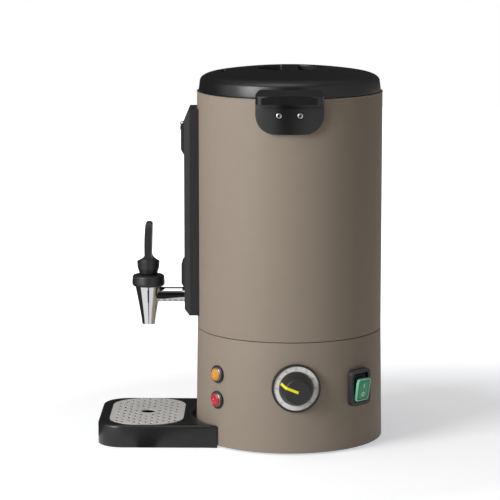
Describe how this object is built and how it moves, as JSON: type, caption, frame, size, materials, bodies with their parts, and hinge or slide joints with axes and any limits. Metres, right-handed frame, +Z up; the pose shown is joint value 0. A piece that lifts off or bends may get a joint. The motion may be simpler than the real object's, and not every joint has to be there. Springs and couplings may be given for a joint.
{
  "type": "hot water urn",
  "caption": "Tall round hot water urn with a lever tap, drip tray, sight glass panel, lift-off lid, two handles, dial, rocker switch and lamps.",
  "frame": {"origin": "where the urn's own vertical axis meets the table it stands on", "axes": "+Z up along the urn's axis, -Y towards the tap and the user, +X towards the dial, switch and lamps"},
  "size_m": [0.2881, 0.3705, 0.4869],
  "materials": {
    "casing_taupe": "matt textured powder coat",
    "base_taupe": "fine matt moulded",
    "black_plastic": "satin moulded",
    "black_rubber": "matt",
    "silicone_white": "satin",
    "silicone_red": "satin",
    "stainless": "brushed",
    "polished_steel": "mirror polished",
    "zinc_steel": "zinc plated",
    "aluminium": "as cast",
    "element_sheath": "dull annealed",
    "copper": "dull",
    "brass": "satin",
    "ceramic": "glazed",
    "scale_white": "printed satin",
    "pointer_yellow": "satin",
    "lens_amber": "clear moulded",
    "lens_red": "clear moulded",
    "rocker_green": "clear moulded",
    "button_red": "satin",
    "glass": "clear"
  },
  "bodies": {
    "urn": {"outer_casing": "casing_taupe", "base_housing": "base_taupe", "seam_ring": "black_rubber", "base_plate": "zinc_steel", "base_screws": "zinc_steel", "foot_ring": "black_rubber", "inner_tank": "stainless", "tie_rods": "zinc_steel", "heater_plate": "aluminium", "heating_element": "element_sheath", "heater_clamp": "zinc_steel", "heater_nut": "zinc_steel", "thermostat_body": "black_plastic", "thermostat_bulb": "copper", "thermostat_screws": "zinc_steel", "overheat_cutout": "black_plastic", "terminal_block": "ceramic", "earth_stud": "brass", "cord_gland": "black_plastic", "dial_bezel": "black_plastic", "dial_scale": "scale_white", "switch_frame": "black_plastic", "switch_boot": "black_rubber", "switch_body": "black_plastic", "lamp_bezels": "black_plastic", "lamp_lens_amber": "lens_amber", "lamp_lens_red": "lens_red", "lamp_nuts": "black_plastic", "gauge_panel": "black_plastic", "gauge_tube": "glass", "gauge_lower_block": "black_plastic", "gauge_upper_block": "black_plastic", "gauge_seals": "silicone_white", "gauge_vent_plug": "polished_steel", "panel_screws": "zinc_steel", "tap_body": "polished_steel", "tap_bonnet": "black_plastic", "tap_spring": "zinc_steel", "tap_spacer": "stainless", "tap_washers": "silicone_red", "tap_shank_nut": "stainless", "handle_right": "black_plastic", "handle_left": "black_plastic", "handle_screws": "zinc_steel", "handle_nut_plates": "zinc_steel"},
    "lid_set": {"lid": "black_plastic", "lid_liner": "stainless", "lid_seal": "silicone_white", "lid_screws": "zinc_steel"},
    "tray": {"drip_tray": "black_plastic"},
    "grid": {"drip_grid": "stainless"},
    "tap_stem_set": {"tap_stem": "stainless", "tap_seat_cup": "silicone_white", "tap_lever_pin": "stainless"},
    "tap_lever": {"tap_lever": "black_plastic"},
    "knob": {"control_knob": "black_plastic", "knob_pointer": "pointer_yellow", "thermostat_shaft": "zinc_steel"},
    "rocker": {"switch_rocker": "rocker_green"},
    "reset_button": {"reset_button": "button_red"}
  },
  "joints": [
    {"name": "lid_lift", "type": "slide", "parent": "urn", "child": "lid_set", "axis": [0, 0, 1], "range_m": [0, 0.12]},
    {"name": "tray_slide", "type": "slide", "parent": "urn", "child": "tray", "axis": [0, -1, 0], "range_m": [0, 0.15]},
    {"name": "grid_lift", "type": "slide", "parent": "tray", "child": "grid", "axis": [0, 0, 1], "range_m": [0, 0.04]},
    {"name": "tap_stem_lift", "type": "slide", "parent": "urn", "child": "tap_stem_set", "axis": [0, 0, 1], "range_m": [0, 0.0048], "deforming": ["tap_spring"]},
    {"name": "tap_lever_tilt", "type": "hinge", "parent": "tap_stem_set", "child": "tap_lever", "pos_m": [0, -0.1845, 0.2211], "axis": [1, 0, 0], "range_deg": [0, 25]},
    {"name": "knob_turn", "type": "hinge", "parent": "urn", "child": "knob", "pos_m": [0, 0, 0.088], "axis": [0.9972, 0.075, 0], "range_deg": [-200, 70]},
    {"name": "switch_rock", "type": "hinge", "parent": "urn", "child": "rocker", "pos_m": [0.07802, 0.08366, 0.082], "axis": [-0.7314, 0.682, 0], "range_deg": [-20, 0]},
    {"name": "reset_press", "type": "slide", "parent": "urn", "child": "reset_button", "axis": [0, 0, 1], "range_m": [0, 0.0015], "stiffness_N_per_m": 400}
  ],
  "couplings": [
    {"joint": "tap_stem_lift", "follows": "tap_lever_tilt", "m_per_rad": 0.01099}
  ]
}
